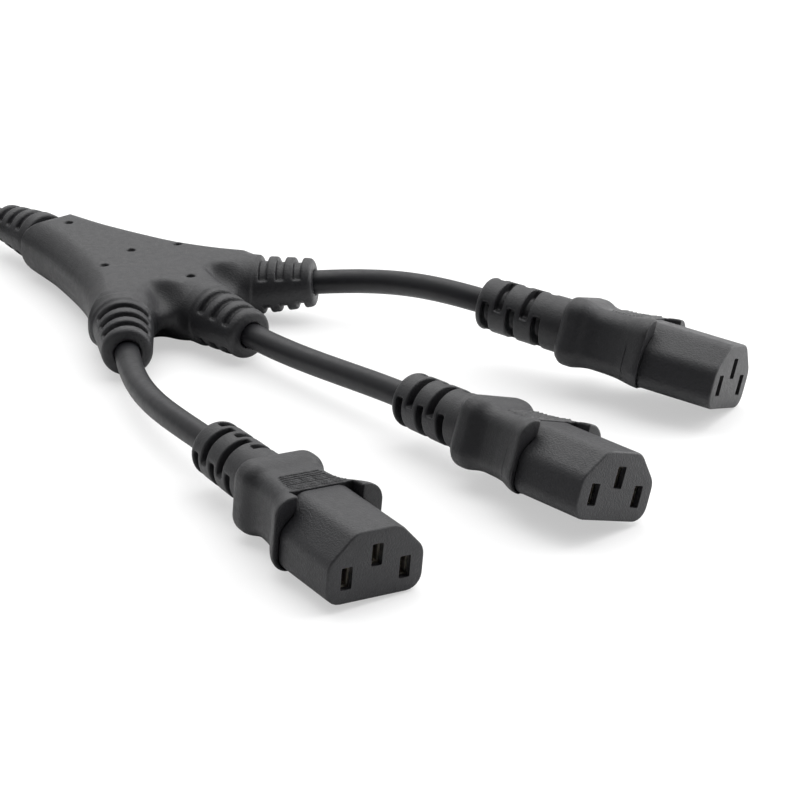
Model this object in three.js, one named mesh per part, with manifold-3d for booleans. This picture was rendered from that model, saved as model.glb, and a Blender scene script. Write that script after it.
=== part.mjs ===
// Power cord splitter: one mains lead feeds a moulded trident block, and three short cords leave it,
// each ending in an angled-corner appliance connector. Millimetres, Z up, X from the input to the outlets.
import * as THREE from "three";
import { mergeVertices } from "three/addons/utils/BufferGeometryUtils.js";
import Module from "manifold-3d";

const wasm = await Module();
wasm.setup();

const deg = THREE.MathUtils.degToRad;

// Flat sides on each turned barrel, and in each arc cut around one
const barrelSides = 20;
const arcSteps = 4;

// Clearance between touching pieces
const fit = 0.3;

// Round cord and its three insulated conductors
const cordRadius = 3.1;
const cordSides = 10;
const wireRadius = 1.1;
const wireSides = 6;
const wireCircle = 1.75;
const wireAngle = { line: 210, neutral: 330, earth: 90 };
const poles = ["line", "neutral", "earth"];

// Splitter block: a fan of three outlet necks opposite one input neck, all on one level
const apexX = -62.33;
const apexY = -1.7;
const blockHalfHeight = 8;
const blockRound = 7;
const fanAngle = 35.7;
const rearX = -32.5;
const rearHalfWidth = 8.4;
const armHalfWidth = 8;
const blockFlare = [[-18, 10.5], [-9, 12.7], [1, 15.5], [10, 18.7], [17, 21.9]];
const armEnd = 35;
const frontReach = 35;
const webScoop = { along: 38, reach: [11, 5.8, 6.6], level: 8.6 };
const outletNeck = { start: 22, shoulder: armEnd, base: 7.6, end: 51, tip: 6.1, pitch: 4.3 };
const inputNeck = { start: 22, shoulder: 36, base: 6.9, end: 51.2, tip: 5, pitch: 4.9 };

// Outlets from the near side to the far side: direction, extra reach, and how their cord bends the ribbed end
const outlets = [
  { angle: -fanAngle, extra: 0, bendAside: 2.5, bendUp: -3 },
  { angle: 0, extra: 1.8, bendAside: 0, bendUp: -2.5 },
  { angle: fanAngle, extra: 0, bendAside: 5, bendUp: 6 },
];

// Grooves around each neck, and the small round marks that mould pins leave on the block
const neckGroove = { width: 2, depth: 1.3, first: 3.6, count: 3, span: 124 };
const dimples = [[-22.3, 0], [4.7, 0], [29.2, 0], [9, 11.5], [9, -11.5]];
const dimpleRadius = 1.1;
const dimpleDepth = 1;

// Splice chamber inside the block: one crimp sleeve for each pole, one level each
const chamberHalfHeight = 5.2;
const chamberRear = -24;
const chamberFront = 6;
const chamberHalfWidth = 5.2;
const chamberArmHalfWidth = 4.2;
const sheathEndOutlet = 33;
const spliceLevel = { earth: 3.4, line: 0, neutral: -3.4 };
const splice = { rear: -12, front: -1, width: 8, height: 2.6 };
const spliceSpread = 2.5;

// Connector: local X runs forward from the seam where its nose leaves the hood, Y to its right seen from the
// front, Z up. What lies inside the hood is measured behind that seam.
const nose = { length: 18.3, halfWidth: 11.6, halfHeight: 7.7, chamfer: 6.2, bottomRadius: 3.2, edge: 0.5 };
const contactPlace = { line: [-7, -2], neutral: [7, -2], earth: [0, 2] };
const slot = { width: 2.6, height: 4.9, wall: 1.3 };
const contactChamber = { width: 5.2, height: 6.6 };
const blockRoot = { length: 4.2, inset: 1.1 };
const contact = { length: 11.7, inner: [2, 4.2], barrelRadius: 1.4, reach: 19.4 };
const contactFront = nose.length - slot.wall - fit;
const contactRear = contact.reach - contactFront;
const sheathEndConnector = 25.7;
const wireBend = { leave: 0.4, arrive: 0.9 };
const relief = { end: 46.7, joint: 19.7, tip: 6.4, base: 6.8, round: 1 };
const reliefSlot = { width: 1.9, depth: 2.2, first: 2.8, pitch: 3.45, count: 5, span: 105 };
const topRecess = { length: 4, halfWidth: 7 };
const gripGroove = { width: 0.5, depth: 0.35, count: 8, rear: 12.5, front: 4.6 };
const gripPatch = { rearHalfWidth: 5, frontHalfWidth: 7 };

// Grip from the strain relief forward: distance behind the seam, half width, top, bottom, corner radius
const gripSections = [
  [22.9, 8.9, 7.1, 7.1, 3.6],
  [21.9, 9.9, 8.1, 8.1, 4.2],
  [20.8, 10.1, 8.3, 8.3, 4.3],
  [18.6, 10.1, 8.3, 8.3, 4.3],
  [17.4, 9.7, 7.95, 8, 4.2],
  [16.2, 8.9, 7.4, 7.7, 3.9],
  [14.5, 8.4, 7.15, 7.5, 3.7],
  [12.5, 8.5, 7.2, 7.5, 3.7],
  [9.7, 8.9, 7.3, 7.5, 3.8],
  [6.7, 9.8, 7.6, 7.6, 4],
  [4.1, 11.4, 8.1, 7.8, 4.2],
  [2.1, 12.6, 8.5, 7.95, 4.3],
  [0.9, 13.1, 8.6, 8, 4.3],
  [0, 12.7, 8.4, 7.8, 4.1],
];
const gripHollow = [
  [26.7, 3.9, 3.9, 3.9, 1.2],
  [19.7, 5, 4.2, 4.2, 1.2],
  [12.7, 6.9, 4.6, 4.6, 1.2],
  [6.7, 8, 5, 5, 1.2],
  [blockRoot.length + fit, 8.8, 5.4, 5.4, 1.2],
  [blockRoot.length, 8.8, 5.4, 5.4, 1.2],
];

// Connector places: seam centre from the fan's apex, height of its axis, yaw, nose-up pitch, roll to its
// right, and the straight lengths with which its cord leaves the neck and arrives
const connectorPlaces = [
  { x: 146.7, y: -56.08, z: 8.7, yaw: -8.5, pitch: -0.6, roll: 4.8, leave: 24, arrive: 22 },
  { x: 157.4, y: -0.6, z: 10.76, yaw: 0, pitch: 1, roll: 19.7, leave: 20, arrive: 20 },
  { x: 133.9, y: 57.6, z: 11.77, yaw: 18.2, pitch: -5, roll: 20, leave: 18, arrive: 18 },
];

// Input plug at the far end of the lead, measured from the seam of the outlet that it would go into
const shroud = { clearance: 0.6, wall: 2.2, radius: 5, rim: 0.8, edge: 0.6 };
const carrier = { front: 0.5, back: 4.7, inset: 0.3 };
const pin = { width: 2, height: 4, tip: 2.5, back: 7.7, point: 0.8 };
const plugSections = [
  [22.9, 8.9, 7.1, 7.1, 3.6],
  [21.9, 9.8, 8, 8, 4.3],
  [20.3, 10.2, 8.4, 8.4, 4.5],
  [16.2, 10.2, 8.4, 8.4, 4.5],
  [14.2, 9.8, 8, 8, 4.2],
  [9.7, 11, 8.6, 8.6, 4.2],
  [5.7, 13, 9.8, 9.8, 4.6],
  [1.7, 14.4, 10.5, 10.5, 5],
];
const plugHollow = [
  [26.7, 3.9, 3.9, 3.9, 1.2],
  [19.7, 5, 4.2, 4.2, 1.2],
  [13.7, 7.6, 4.8, 4.8, 1.2],
  [9.7, 9.2, 5.2, 5.2, 1.2],
  [carrier.back, 9.6, 5.4, 5.4, 1.2],
];
const plugHeight = nose.halfHeight + shroud.clearance + shroud.wall;

// Coil of the lead: two layers of three turns
const turnPitch = 6.5;
const coilMiddle = 37.2;
const coilFloor = 0.9;
const coilSides = 44;
const lead = { straight: 12, length: 56 };
const coilX = apexX - inputNeck.end - lead.length;
const coilY = apexY - coilMiddle - turnPitch;
const coilOuter = coilMiddle + 1.5 * turnPitch;
const coilInner = coilMiddle - 1.5 * turnPitch;
const lowerTurnZ = coilFloor + cordRadius;
const upperTurnZ = lowerTurnZ + turnPitch;
const coilTop = upperTurnZ + cordRadius;
const tie = { width: 8, band: 0.6, slack: 0.6, angle: 205 };
const plugRear = 34;
const plugX = coilX + plugRear + relief.end;
const plugY = coilY - coilMiddle - turnPitch;

// Materials
const pvc = { color: 0x2b2c2e, roughness: 0.62, metalness: 0 };
const sheath = { color: 0x242527, roughness: 0.42, metalness: 0 };
const brass = { color: 0xb9974f, roughness: 0.35, metalness: 1 };
const nickel = { color: 0xb8b9b6, roughness: 0.3, metalness: 1 };
const strap = { color: 0x1c1d1f, roughness: 0.9, metalness: 0 };
const insulation = {
  line: { color: 0x5a3622, roughness: 0.5, metalness: 0 },
  neutral: { color: 0x2d5fa8, roughness: 0.5, metalness: 0 },
  earth: { color: 0x6f8f2c, roughness: 0.5, metalness: 0 },
};

// Solids from geometries, and back
function solidOf(geometry) {
  if (geometry instanceof wasm.Manifold) return geometry;
  const plain = geometry.index ? geometry.toNonIndexed() : geometry.clone();
  plain.deleteAttribute("normal");
  plain.deleteAttribute("uv");
  const merged = mergeVertices(plain, 1e-4);
  return new wasm.Manifold(
    new wasm.Mesh({
      numProp: 3,
      vertProperties: merged.attributes.position.array,
      triVerts: new Uint32Array(merged.index.array),
    }),
  );
}

function geometryOf(solid) {
  const { numProp, vertProperties, triVerts } = solid.getMesh();
  const count = vertProperties.length / numProp;
  const position = new Float32Array(count * 3);
  for (let i = 0; i < count; i++) {
    position.set(vertProperties.subarray(i * numProp, i * numProp + 3), i * 3);
  }
  const geometry = new THREE.BufferGeometry();
  geometry.setAttribute("position", new THREE.BufferAttribute(position, 3));
  geometry.setIndex(new THREE.BufferAttribute(triVerts, 1));
  geometry.computeVertexNormals();
  return geometry;
}

function join(parts) {
  return parts.map(solidOf).reduce((sum, part) => sum.add(part));
}

function cut(added, removed) {
  return removed.map(solidOf).reduce((rest, part) => rest.subtract(part), join(added));
}

function shape(added, removed) {
  return geometryOf(cut(added, removed));
}

function meshOf(name, geometry, look) {
  const mesh = new THREE.Mesh(geometry, new THREE.MeshStandardMaterial(look));
  mesh.name = name;
  return mesh;
}

// A closed skin through outlines that have the same number of points: each is [x, [[y, z], ...]]
function loft(outlines) {
  const count = outlines[0][1].length;
  const position = outlines.flatMap(([x, points]) => points.flatMap(([y, z]) => [x, y, z]));
  const index = [];
  for (let ring = 0; ring < outlines.length - 1; ring++) {
    for (let i = 0; i < count; i++) {
      const a = ring * count + i;
      const b = ring * count + ((i + 1) % count);
      index.push(a, b, b + count, a, b + count, a + count);
    }
  }
  const last = (outlines.length - 1) * count;
  for (let i = 1; i < count - 1; i++) {
    index.push(0, i + 1, i);
    index.push(last, last + i, last + i + 1);
  }
  const geometry = new THREE.BufferGeometry();
  geometry.setAttribute("position", new THREE.Float32BufferAttribute(position, 3));
  geometry.setIndex(index);
  return geometry;
}

// Rounded rectangle, anticlockwise seen from the front, with its own top and bottom heights
function roundedRectangle(halfWidth, top, bottom, radius, steps = 3) {
  const corners = [
    [halfWidth - radius, top - radius, 0],
    [radius - halfWidth, top - radius, 90],
    [radius - halfWidth, radius - bottom, 180],
    [halfWidth - radius, radius - bottom, 270],
  ];
  return corners.flatMap(([y, z, start]) =>
    Array.from({ length: steps + 1 }, (_, i) => {
      const angle = deg(start + (90 * i) / steps);
      return [y + radius * Math.cos(angle), z + radius * Math.sin(angle)];
    }),
  );
}

// Mating outline of the connector: two cut top corners and two rounded bottom ones
function noseOutline(grow) {
  const w = nose.halfWidth + grow;
  const h = nose.halfHeight + grow;
  const cut = nose.chamfer + 0.41 * grow;
  const r = nose.bottomRadius + grow;
  const corner = (y, start) =>
    [0, 30, 60, 90].map((a) => [
      y + r * Math.cos(deg(start + a)),
      r - h + r * Math.sin(deg(start + a)),
    ]);
  const top = [[w, h - cut], [w - cut, h], [cut - w, h], [-w, h - cut]];
  return [...top, ...corner(r - w, 180), ...corner(w - r, 270)];
}

// Box between two x values, centred on (y, z)
function block(x0, x1, y, z, width, height) {
  return new THREE.BoxGeometry(x1 - x0, width, height).translate((x0 + x1) / 2, y, z);
}

// Turned solid along X from [x, radius] pairs that start and end on the axis
function turned(profile, sides) {
  const points = profile.map(([x, r]) => new THREE.Vector2(r, x));
  return new THREE.LatheGeometry(points, sides).rotateZ(-Math.PI / 2);
}

// Plain round bar along X between two places
function bar(x0, x1, radius, sides = 16) {
  return turned([[x0, 0], [x0, radius], [x1, radius], [x1, 0]], sides);
}

// Part of a ring around the X axis, centred on an angle from +Y towards +Z
function ringSector(x0, x1, inner, outer, centre, span) {
  const from = deg(centre - span / 2);
  const to = deg(centre + span / 2);
  const outline = new THREE.Shape();
  outline.absarc(0, 0, outer, from, to, false);
  outline.absarc(0, 0, inner, to, from, true);
  const settings = { depth: x1 - x0, bevelEnabled: false, curveSegments: arcSteps };
  const geometry = new THREE.ExtrudeGeometry(outline, settings);
  return geometry.rotateX(Math.PI / 2).rotateZ(Math.PI / 2).translate(x0, 0, 0);
}

// Round tube along a curve
function tube(path, radius, sides, steps) {
  const section = new THREE.Shape();
  for (let i = 0; i < sides; i++) {
    const angle = (2 * Math.PI * i) / sides;
    const point = [radius * Math.cos(angle), radius * Math.sin(angle)];
    if (i === 0) section.moveTo(...point);
    else section.lineTo(...point);
  }
  section.closePath();
  return new THREE.ExtrudeGeometry(section, { extrudePath: path, steps, bevelEnabled: false });
}

// Straight, one smooth bend, straight: from inside one piece to inside the next
function bentPath(start, leave, leaveHandle, arriveHandle, arrive, end) {
  const path = new THREE.CurvePath();
  path.add(new THREE.LineCurve3(start, leave));
  path.add(new THREE.CubicBezierCurve3(leave, leaveHandle, arriveHandle, arrive));
  path.add(new THREE.LineCurve3(arrive, end));
  return path;
}

// Place of one conductor in the cut end of a cord: sideways and up
function wirePlace(pole) {
  const angle = deg(wireAngle[pole]);
  return [wireCircle * Math.cos(angle), wireCircle * Math.sin(angle)];
}

// One ribbed neck around +X: a tapered barrel, and the grooves cut into its top and bottom
function neckBarrel(neck) {
  return turned(
    [
      [neck.start, 0],
      [neck.start, neck.base],
      [neck.shoulder, neck.base],
      [neck.end - 0.8, neck.tip],
      [neck.end, neck.tip - 0.8],
      [neck.end, 0],
    ],
    barrelSides,
  );
}

function neckRadius(neck, x) {
  return THREE.MathUtils.mapLinear(x, neck.shoulder, neck.end, neck.base, neck.tip);
}

function neckGrooves(neck) {
  return Array.from({ length: neckGroove.count }, (_, i) => {
    const x = neck.end - neckGroove.first - i * neck.pitch;
    const floor = neckRadius(neck, x) - neckGroove.depth;
    const half = neckGroove.width / 2;
    const outside = neck.base + 2;
    return [90, 270].map((angle) => ringSector(x - half, x + half, floor, outside, angle, neckGroove.span));
  }).flat();
}

// Splitter block
const placeOnInput = new THREE.Matrix4().makeRotationZ(Math.PI);

// Turns the ribbed end of an outlet neck about its shoulder, then out to the outlet's direction
function placeOnOutlet({ angle, extra, bendAside, bendUp }) {
  return new THREE.Matrix4()
    .makeRotationZ(deg(angle))
    .multiply(new THREE.Matrix4().makeTranslation(outletNeck.shoulder + extra, 0, 0))
    .multiply(new THREE.Matrix4().makeRotationZ(deg(bendAside)))
    .multiply(new THREE.Matrix4().makeRotationY(-deg(bendUp)))
    .multiply(new THREE.Matrix4().makeTranslation(-outletNeck.shoulder, 0, 0));
}

function fanPoint(angle, along, across) {
  const a = deg(angle);
  return [along * Math.cos(a) - across * Math.sin(a), along * Math.sin(a) + across * Math.cos(a)];
}

// Outline of the block seen from above: flared sides and a round front between the outer necks
function blockOutline() {
  const corner = fanPoint(fanAngle, armEnd, armHalfWidth);
  const frontAngle = Math.atan2(corner[1], corner[0]);
  const outline = new THREE.Shape();
  outline.moveTo(rearX, -rearHalfWidth);
  for (const [x, y] of blockFlare) outline.lineTo(x, -y);
  outline.absarc(0, 0, frontReach, -frontAngle, frontAngle, false);
  for (const [x, y] of [...blockFlare].reverse()) outline.lineTo(x, y);
  outline.lineTo(rearX, rearHalfWidth);
  return outline;
}

function blockPlate() {
  return new THREE.ExtrudeGeometry(blockOutline(), {
    depth: 2 * (blockHalfHeight - blockRound),
    bevelThickness: blockRound,
    bevelSize: blockRound,
    bevelOffset: -blockRound,
    bevelSegments: 3,
    curveSegments: 4,
  }).translate(0, 0, blockRound - blockHalfHeight);
}

// Scoops that thin the web between two necks, above and below
function webScoops() {
  return [-fanAngle / 2, fanAngle / 2].flatMap((angle) =>
    [-webScoop.level, webScoop.level].map((z) => {
      const scoop = new THREE.SphereGeometry(1, 12, 6).scale(...webScoop.reach);
      return scoop.translate(webScoop.along, 0, z).rotateZ(deg(angle));
    }),
  );
}

function splitterBlock() {
  const plate = cut([blockPlate()], webScoops());
  const outletTip = { ...outletNeck, start: armEnd - 1 };
  const root = () => bar(outletNeck.start, outletNeck.shoulder + 1, outletNeck.base, barrelSides);
  const necks = [
    ...outlets.map(({ angle, extra }) => root().translate(extra, 0, 0).rotateZ(deg(angle))),
    ...outlets.map((outlet) => neckBarrel(outletTip).applyMatrix4(placeOnOutlet(outlet))),
    neckBarrel(inputNeck).applyMatrix4(placeOnInput),
  ];
  const grooves = [
    ...outlets.flatMap((outlet) =>
      neckGrooves(outletNeck).map((groove) => groove.applyMatrix4(placeOnOutlet(outlet))),
    ),
    ...neckGrooves(inputNeck).map((groove) => groove.applyMatrix4(placeOnInput)),
  ];
  const bore = cordRadius + fit;
  const chamberArm = (end) => block(0, end, 0, 0, 2 * chamberArmHalfWidth, 2 * chamberHalfHeight);
  const chamber = [
    block(chamberRear, chamberFront, 0, 0, 2 * chamberHalfWidth, 2 * chamberHalfHeight),
    bar(-inputNeck.end - 1, chamberRear + 1, bore),
    ...outlets.flatMap((outlet) => [
      chamberArm(sheathEndOutlet + outlet.extra).rotateZ(deg(outlet.angle)),
      bar(sheathEndOutlet - 1, outletNeck.end + 1, bore).applyMatrix4(placeOnOutlet(outlet)),
    ]),
  ];
  const pits = dimples.map(([x, y]) =>
    new THREE.CylinderGeometry(dimpleRadius, dimpleRadius, 2 * dimpleDepth, 12)
      .rotateX(Math.PI / 2)
      .translate(x, y, blockHalfHeight),
  );
  return shape([plate, ...necks], [...grooves, ...chamber, ...pits]);
}

// Conductor inside the block, from a cord's cut end to its pole's sleeve
function blockWire(pole, place, sheathEnd, sleeveX, sleeveY) {
  const dir = new THREE.Vector3(1, 0, 0).transformDirection(place);
  const start = new THREE.Vector3(sheathEnd, ...wirePlace(pole)).applyMatrix4(place);
  const end = new THREE.Vector3(sleeveX, sleeveY, spliceLevel[pole]);
  const towards = new THREE.Vector3(Math.sign(start.x), 0, 0);
  const bend = start.distanceTo(end) / 3;
  const path = new THREE.CubicBezierCurve3(
    start,
    start.clone().addScaledVector(dir, -bend),
    end.clone().addScaledVector(towards, bend),
    end,
  );
  return tube(path, wireRadius, wireSides, 4);
}

function splitterPieces() {
  const pieces = [meshOf("splitter_block", splitterBlock(), pvc)];
  for (const pole of poles) {
    const sleeve = roundedRectangle(splice.width / 2, splice.height / 2, splice.height / 2, 1.2, 3);
    const level = spliceLevel[pole];
    const body = loft([[splice.rear, sleeve], [splice.front, sleeve]]).translate(0, 0, level);
    pieces.push(meshOf(`splice_sleeve_${pole}`, body, nickel));
    const inputWire = blockWire(pole, placeOnInput, -chamberRear - fit, splice.rear - fit, 0);
    pieces.push(meshOf(`splice_wire_input_${pole}`, inputWire, insulation[pole]));
    outlets.forEach((outlet, i) => {
      const spread = (i - 1) * spliceSpread;
      const wire = blockWire(pole, placeOnOutlet(outlet), sheathEndOutlet - fit, splice.front + fit, spread);
      pieces.push(meshOf(`splice_wire_outlet_${i + 1}_${pole}`, wire, insulation[pole]));
    });
  }
  const group = new THREE.Group();
  group.add(...pieces);
  group.position.set(apexX, apexY, blockHalfHeight);
  return group;
}

// Ribbed strain relief behind a connector or the plug, with its staggered slots
function reliefBarrel() {
  return turned(
    [
      [-relief.end, 0],
      [-relief.end, relief.tip - relief.round],
      [relief.round - relief.end, relief.tip],
      [-relief.joint, relief.base],
      [-relief.joint, 0],
    ],
    barrelSides,
  );
}

function reliefSlots() {
  return Array.from({ length: reliefSlot.count }, (_, i) => {
    const x = reliefSlot.first + i * reliefSlot.pitch - relief.end;
    const centre = i % 2 === 0 ? 45 : 135;
    return [centre, centre + 180].map((angle) =>
      ringSector(
        x - reliefSlot.width / 2,
        x + reliefSlot.width / 2,
        relief.tip - reliefSlot.depth,
        relief.base + 1,
        angle,
        reliefSlot.span,
      ),
    );
  }).flat();
}

function loftBehindSeam(sections) {
  return loft(sections.map(([back, w, top, bottom, r]) => [-back, roundedRectangle(w, top, bottom, r)]));
}

// Height of the grip's top at a distance behind the seam
function gripTop(back) {
  const after = gripSections.findIndex(([x]) => x <= back);
  const [x0, , top0] = gripSections[after - 1];
  const [x1, , top1] = gripSections[after];
  return THREE.MathUtils.mapLinear(back, x0, x1, top0, top1);
}

function gripGrooves() {
  return Array.from({ length: gripGroove.count }, (_, i) => {
    const share = i / (gripGroove.count - 1);
    const back = THREE.MathUtils.lerp(gripGroove.rear, gripGroove.front, share);
    const halfWidth = THREE.MathUtils.lerp(gripPatch.rearHalfWidth, gripPatch.frontHalfWidth, share);
    const floor = gripTop(back) - gripGroove.depth;
    return block(-back - gripGroove.width / 2, -back + gripGroove.width / 2, 0, floor + 1, 2 * halfWidth, 2);
  });
}

function hood() {
  const recess = block(-topRecess.length, 1, 0, nose.halfHeight + 1, 2 * topRecess.halfWidth, 2);
  const rootSeat = noseOutline(fit - blockRoot.inset);
  return shape(
    [loftBehindSeam(gripSections), reliefBarrel()],
    [
      ...reliefSlots(),
      ...gripGrooves(),
      recess,
      loft([[-blockRoot.length - fit, rootSeat], [1, rootSeat]]),
      loftBehindSeam(gripHollow),
      bar(-relief.end - 1, -sheathEndConnector, cordRadius + fit),
    ],
  );
}

function contactBlock() {
  const full = noseOutline(0);
  const face = noseOutline(-nose.edge);
  const root = noseOutline(-blockRoot.inset);
  const chamberEnd = nose.length - slot.wall;
  const openings = poles.flatMap((pole) => {
    const [y, z] = contactPlace[pole];
    return [
      block(chamberEnd - 1, nose.length + 1, y, z, slot.width, slot.height),
      block(-blockRoot.length - 1, chamberEnd, y, z, contactChamber.width, contactChamber.height),
    ];
  });
  return shape(
    [
      loft([[fit, full], [nose.length - nose.edge, full], [nose.length, face]]),
      loft([[-blockRoot.length, root], [2 * fit, root]]),
    ],
    openings,
  );
}

// Folded spring contact with its crimp barrel
function springContact() {
  const back = contactFront - contact.length;
  const width = contactChamber.width - 2 * fit;
  const height = contactChamber.height - 2 * fit;
  return shape(
    [block(back, contactFront, 0, 0, width, height), bar(-contactRear, back + 0.5, contact.barrelRadius, 10)],
    [block(back + 1, contactFront + 1, 0, 0, ...contact.inner)],
  );
}

// Conductor inside a connector or the plug, from the cord's cut end to its contact
function connectorWire(pole, contactBack) {
  const [across, up] = wirePlace(pole);
  const [y, z] = contactPlace[pole];
  const rear = fit - sheathEndConnector;
  const front = -contactBack - fit;
  const at = (share, ...point) => new THREE.Vector3(THREE.MathUtils.lerp(rear, front, share), ...point);
  const path = new THREE.CubicBezierCurve3(
    at(0, across, up),
    at(wireBend.leave, across, up),
    at(wireBend.arrive, y, z),
    at(1, y, z),
  );
  return tube(path, wireRadius, wireSides, 5);
}

function connector(number) {
  const place = connectorPlaces[number - 1];
  const group = new THREE.Group();
  group.add(meshOf(`connector_${number}_hood`, hood(), pvc));
  group.add(meshOf(`connector_${number}_contact_block`, contactBlock(), pvc));
  for (const pole of poles) {
    const spring = springContact().translate(0, ...contactPlace[pole]);
    group.add(meshOf(`connector_${number}_contact_${pole}`, spring, brass));
    const wire = connectorWire(pole, contactRear);
    group.add(meshOf(`connector_${number}_wire_${pole}`, wire, insulation[pole]));
  }
  group.rotation.set(-deg(place.roll), -deg(place.pitch), deg(place.yaw), "ZYX");
  group.position.set(apexX + place.x, apexY + place.y, place.z);
  group.updateMatrixWorld(true);
  return group;
}

// Short cord from an outlet neck to a connector
function outletCord(number, connectorGroup) {
  const place = connectorPlaces[number - 1];
  const onNeck = (along) =>
    new THREE.Vector3(along, 0, 0)
      .applyMatrix4(placeOnOutlet(outlets[number - 1]))
      .add(new THREE.Vector3(apexX, apexY, blockHalfHeight));
  const onConnector = (back) => connectorGroup.localToWorld(new THREE.Vector3(-back, 0, 0));
  const path = bentPath(
    onNeck(sheathEndOutlet),
    onNeck(outletNeck.end),
    onNeck(outletNeck.end + place.leave),
    onConnector(relief.end + place.arrive),
    onConnector(relief.end),
    onConnector(sheathEndConnector),
  );
  return meshOf(`outlet_cord_${number}`, tube(path, cordRadius, cordSides, 22), sheath);
}

// Lead between the input neck and the coil, down to the floor
function leadPath() {
  const at = (x, z) => new THREE.Vector3(x, apexY, z);
  const neckX = apexX - inputNeck.end;
  return bentPath(
    at(apexX + chamberRear, blockHalfHeight),
    at(neckX, blockHalfHeight),
    at(neckX - lead.straight, blockHalfHeight),
    at(coilX + 2 * lead.straight, lowerTurnZ),
    at(coilX + lead.straight, lowerTurnZ),
    at(coilX + lead.straight / 2, lowerTurnZ),
  );
}

// Tail between the coil and the plug, level with the coil's upper turns
function tailPath() {
  const at = (x) => new THREE.Vector3(x, plugY, upperTurnZ);
  return new THREE.LineCurve3(at(coilX + lead.straight), at(plugX - sheathEndConnector));
}

function coilRing(grow) {
  const inner = coilInner - grow;
  const outer = coilOuter + grow;
  const bottom = coilFloor - grow;
  const top = coilTop + grow;
  const corner = 2.4;
  const profile = [
    [inner, bottom + corner],
    [inner + corner, bottom],
    [outer - corner, bottom],
    [outer, bottom + corner],
    [outer, top - corner],
    [outer - corner, top],
    [inner + corner, top],
    [inner, top - corner],
    [inner, bottom + corner],
  ];
  const points = profile.map(([r, z]) => new THREE.Vector2(r, z));
  return new THREE.LatheGeometry(points, coilSides).rotateX(Math.PI / 2).translate(coilX, coilY, 0);
}

// Flat band closed around the coil's section
function coilTie() {
  const ringWidth = coilOuter - coilInner;
  const ringHeight = coilTop - coilFloor;
  const size = (grow) => [ringWidth + 2 * (grow + tie.slack), ringHeight + 2 * grow];
  const band = (length, width, height) => new THREE.BoxGeometry(width, length, height);
  const middle = (coilOuter + coilInner) / 2;
  const [innerWidth, innerHeight] = size(fit);
  const [outerWidth, outerHeight] = size(fit + tie.band);
  return shape([band(tie.width, outerWidth, outerHeight)], [band(tie.width + 2, innerWidth, innerHeight)])
    .translate(middle, 0, (coilTop + coilFloor) / 2)
    .rotateZ(deg(tie.angle))
    .translate(coilX, coilY, 0);
}

// Input plug: a shroud around three pins, on the same grip and strain relief
function plugHood() {
  const outerHalfWidth = nose.halfWidth + shroud.clearance + shroud.wall;
  const outerHalfHeight = nose.halfHeight + shroud.clearance + shroud.wall;
  const outer = (shrink) => {
    const h = outerHalfHeight - shrink;
    return roundedRectangle(outerHalfWidth - shrink, h, h, shroud.radius - shrink);
  };
  const front = [[nose.length - shroud.rim, outer(0)], [nose.length, outer(shroud.edge)]];
  const grip = plugSections.map(([back, w, top, bottom, r]) => [-back, roundedRectangle(w, top, bottom, r)]);
  const recess = noseOutline(shroud.clearance);
  return shape(
    [loft([...grip, ...front]), reliefBarrel()],
    [
      ...reliefSlots(),
      loft([[-carrier.back - fit, recess], [nose.length + 1, recess]]),
      loftBehindSeam(plugHollow),
      bar(-relief.end - 1, -sheathEndConnector, cordRadius + fit),
    ],
  );
}

function plugCarrier() {
  const outline = noseOutline(shroud.clearance - carrier.inset);
  const holes = poles.map((pole) => {
    const [y, z] = contactPlace[pole];
    return block(-carrier.back - 1, carrier.front + 1, y, z, pin.width + 2 * fit, pin.height + 2 * fit);
  });
  return shape([loft([[-carrier.back, outline], [carrier.front, outline]])], holes);
}

function plugPin(pole) {
  const section = (shrink) => {
    const w = pin.width / 2 - shrink;
    const h = pin.height / 2 - shrink;
    return [[w, h], [-w, h], [-w, -h], [w, -h]];
  };
  const tip = nose.length - pin.tip;
  const blade = loft([[-pin.back, section(0)], [tip - pin.point, section(0)], [tip, section(pin.point / 2)]]);
  return blade.translate(0, ...contactPlace[pole]);
}

function inputPlug() {
  const group = new THREE.Group();
  group.add(meshOf("plug_hood", plugHood(), pvc));
  group.add(meshOf("plug_pin_carrier", plugCarrier(), pvc));
  for (const pole of poles) {
    group.add(meshOf(`plug_pin_${pole}`, plugPin(pole), nickel));
    group.add(meshOf(`plug_wire_${pole}`, connectorWire(pole, pin.back), insulation[pole]));
  }
  group.position.set(plugX, plugY, plugHeight);
  return group;
}

// The whole splitter
const root = new THREE.Group();
root.name = "power_cord_splitter";
root.add(splitterPieces());
for (const number of [1, 2, 3]) {
  const group = connector(number);
  root.add(group, outletCord(number, group));
}
const ringRoom = coilRing(fit);
const leadTube = shape([tube(leadPath(), cordRadius, cordSides, 20)], [ringRoom]);
const tailTube = shape([tube(tailPath(), cordRadius, cordSides, 3)], [ringRoom]);
root.add(meshOf("input_lead", leadTube, sheath));
root.add(meshOf("input_lead_coil", coilRing(0), sheath));
root.add(meshOf("input_lead_tail", tailTube, sheath));
root.add(meshOf("coil_tie", coilTie(), strap));
root.add(inputPlug());

export default root;
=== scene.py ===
"""Looks of the power cord splitter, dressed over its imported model.

Shapes are worked out in millimetres, as in the part's source, and placed in the frame in metres.
"""

import math

import bmesh
import bpy
import numpy as np
from mathutils import Matrix, Vector


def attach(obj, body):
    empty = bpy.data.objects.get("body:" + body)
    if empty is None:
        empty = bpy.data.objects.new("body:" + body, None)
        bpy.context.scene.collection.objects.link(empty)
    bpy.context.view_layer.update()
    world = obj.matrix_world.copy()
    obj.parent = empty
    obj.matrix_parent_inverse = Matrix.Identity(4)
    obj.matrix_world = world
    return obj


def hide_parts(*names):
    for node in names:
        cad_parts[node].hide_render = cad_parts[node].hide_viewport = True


MM = 0.001
BODY = "root"
POLES = ("line", "neutral", "earth")

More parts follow.
